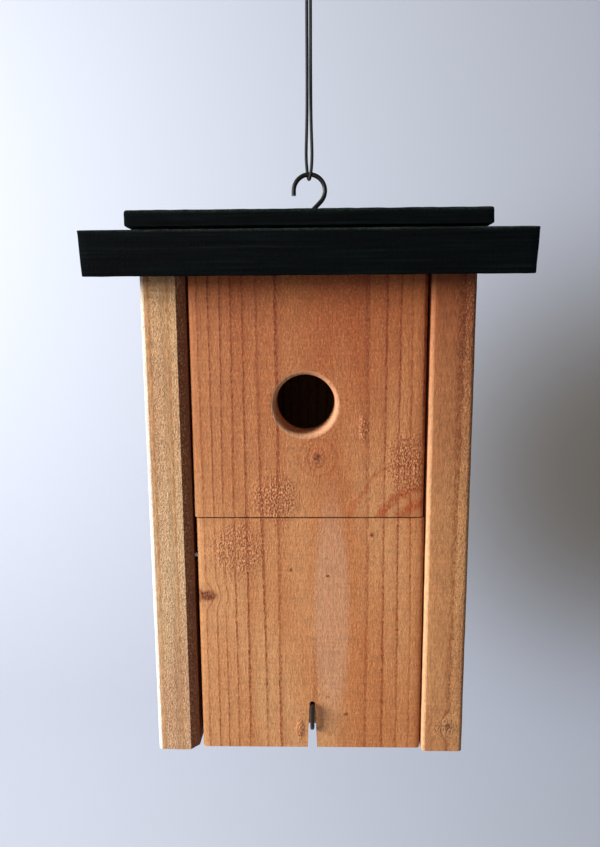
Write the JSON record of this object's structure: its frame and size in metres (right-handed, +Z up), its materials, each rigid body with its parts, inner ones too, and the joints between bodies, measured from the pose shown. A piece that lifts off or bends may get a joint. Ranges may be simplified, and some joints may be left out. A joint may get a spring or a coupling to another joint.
{
  "type": "birdhouse",
  "caption": "Hanging wooden birdhouse with a shallow black gable roof, a round entrance hole and a swing-out cleaning door held by a turn hook.",
  "frame": {"origin": "middle of the birdhouse's underside", "axes": "+Z up, front facing -Y, +X to the right as one faces the front"},
  "size_m": [0.222, 0.1862, 0.4447],
  "materials": {
    "tan_wood": "rough sawn, bare",
    "brown_wood": "rough sawn, bare",
    "red_wood": "planed, bare, reddish",
    "black_wood": "rough sawn, black stain",
    "black_wire": "black enamel on steel wire",
    "nail_steel": "dull galvanised",
    "string": "braided, matt"
  },
  "bodies": {
    "box": {"left_side_board": "tan_wood", "right_side_board": "brown_wood", "back_board": "brown_wood", "floor_board": "brown_wood", "upper_front_panel": "red_wood", "roof_front_board": "black_wood", "roof_rear_board": "black_wood", "ridge_cap": "black_wood", "hanging_hook": "black_wire", "door_pivot_nail_left": "nail_steel", "door_pivot_nail_right": "nail_steel", "nail_left_panel_1": "nail_steel", "nail_left_panel_2": "nail_steel", "nail_left_back_1": "nail_steel", "nail_left_back_2": "nail_steel", "nail_left_floor_1": "nail_steel", "nail_left_floor_2": "nail_steel", "nail_left_roof_front_1": "nail_steel", "nail_left_roof_front_2": "nail_steel", "nail_left_roof_rear_1": "nail_steel", "nail_left_roof_rear_2": "nail_steel", "nail_left_cap_front": "nail_steel", "nail_left_cap_rear": "nail_steel", "nail_right_panel_1": "nail_steel", "nail_right_panel_2": "nail_steel", "nail_right_back_1": "nail_steel", "nail_right_back_2": "nail_steel", "nail_right_floor_1": "nail_steel", "nail_right_floor_2": "nail_steel", "nail_right_roof_front_1": "nail_steel", "nail_right_roof_front_2": "nail_steel", "nail_right_roof_rear_1": "nail_steel", "nail_right_roof_rear_2": "nail_steel", "nail_right_cap_front": "nail_steel", "nail_right_cap_rear": "nail_steel", "string_front_strand": "string", "string_rear_strand": "string", "string_knot": "string"},
    "door": {"front_door": "red_wood"},
    "latch": {"latch_hook": "black_wire"}
  },
  "joints": [
    {"name": "door_hinge", "type": "hinge", "parent": "box", "child": "door", "pos_m": [0, -0.069, 0.1143], "axis": [-1, 0, 0], "range_deg": [0, 150]},
    {"name": "latch_turn", "type": "hinge", "parent": "box", "child": "latch", "pos_m": [0.0016, -0.051, 0.013], "axis": [0, 1, 0], "range_deg": [-90, 90]}
  ]
}
